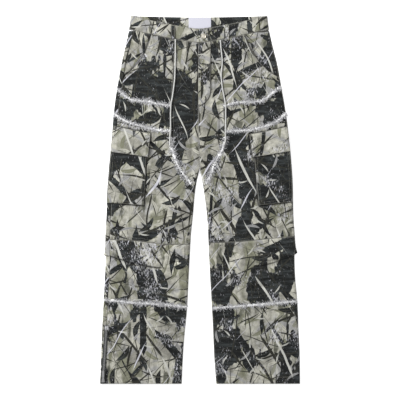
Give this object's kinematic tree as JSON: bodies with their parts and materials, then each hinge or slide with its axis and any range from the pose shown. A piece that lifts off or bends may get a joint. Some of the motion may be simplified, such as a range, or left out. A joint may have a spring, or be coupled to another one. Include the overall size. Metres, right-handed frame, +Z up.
{
  "type": "jeans",
  "caption": "Baggy cargo jeans laid flat on their back, in camouflage-printed twill, with raw frayed seams, cargo pockets, knee tucks, a hem zip and a drawstring at the waist.",
  "frame": {"origin": "centre of the bounding box of the laid-out jeans, on the surface they lie on, without the drawstring's ends", "axes": "+Z up from the surface, out of the front of the jeans; +Y along the legs towards the waist; -X the side with the hem zip (the wearer's right leg)"},
  "size_m": [0.58, 1.066, 0.0139],
  "materials": {
    "printed_twill": "matt heavy cotton twill with a woodland camouflage print in khaki, olive, grey and charcoal",
    "raw_edge": "frayed off-white cotton threads",
    "cord_cotton": "matt off-white cotton cord",
    "label_satin": "soft white woven satin, blank",
    "button_metal": "pale gold, satin",
    "zip_metal": "bright nickel",
    "zip_tape": "dark woven zip tape with metal teeth"
  },
  "bodies": {
    "jeans": {"back_panel_left": "printed_twill", "back_panel_right": "printed_twill", "cargo_flap_left": "printed_twill", "cargo_flap_right": "printed_twill", "cargo_pocket_left": "printed_twill", "cargo_pocket_right": "printed_twill", "centre_front_left": "printed_twill", "centre_front_right": "printed_twill", "drawstring_left": "cord_cotton", "drawstring_right": "cord_cotton", "fly_placket": "printed_twill", "fray_lower_left": "raw_edge", "fray_lower_right": "raw_edge", "fray_rise_left": "raw_edge", "fray_rise_right": "raw_edge", "fray_shin_left": "raw_edge", "fray_shin_right": "raw_edge", "fray_upper_left": "raw_edge", "fray_upper_right": "raw_edge", "hip_front_left": "printed_twill", "hip_front_right": "printed_twill", "knee_front_left": "printed_twill", "knee_front_right": "printed_twill", "label_blank": "label_satin", "pocket_facing_left": "printed_twill", "pocket_facing_right": "printed_twill", "shin_front_left": "printed_twill", "shin_front_right": "printed_twill", "thigh_band_left": "printed_twill", "thigh_band_right": "printed_twill", "thigh_front_left": "printed_twill", "thigh_front_right": "printed_twill", "waist_button": "button_metal", "waistband_back": "printed_twill", "waistband_front_left": "printed_twill", "waistband_front_right": "printed_twill", "zip_slider": "zip_metal", "zip_tape_back": "zip_tape", "zip_tape_front": "zip_tape"},
    "pull_tab": {"zip_pull_tab": "zip_metal"}
  },
  "joints": [
    {"name": "pull_tab_swing", "type": "hinge", "parent": "jeans", "child": "pull_tab", "pos_m": [-0.28016, -0.5225, 0.0119], "axis": [1, 0, 0], "range_deg": [0, 165]}
  ]
}
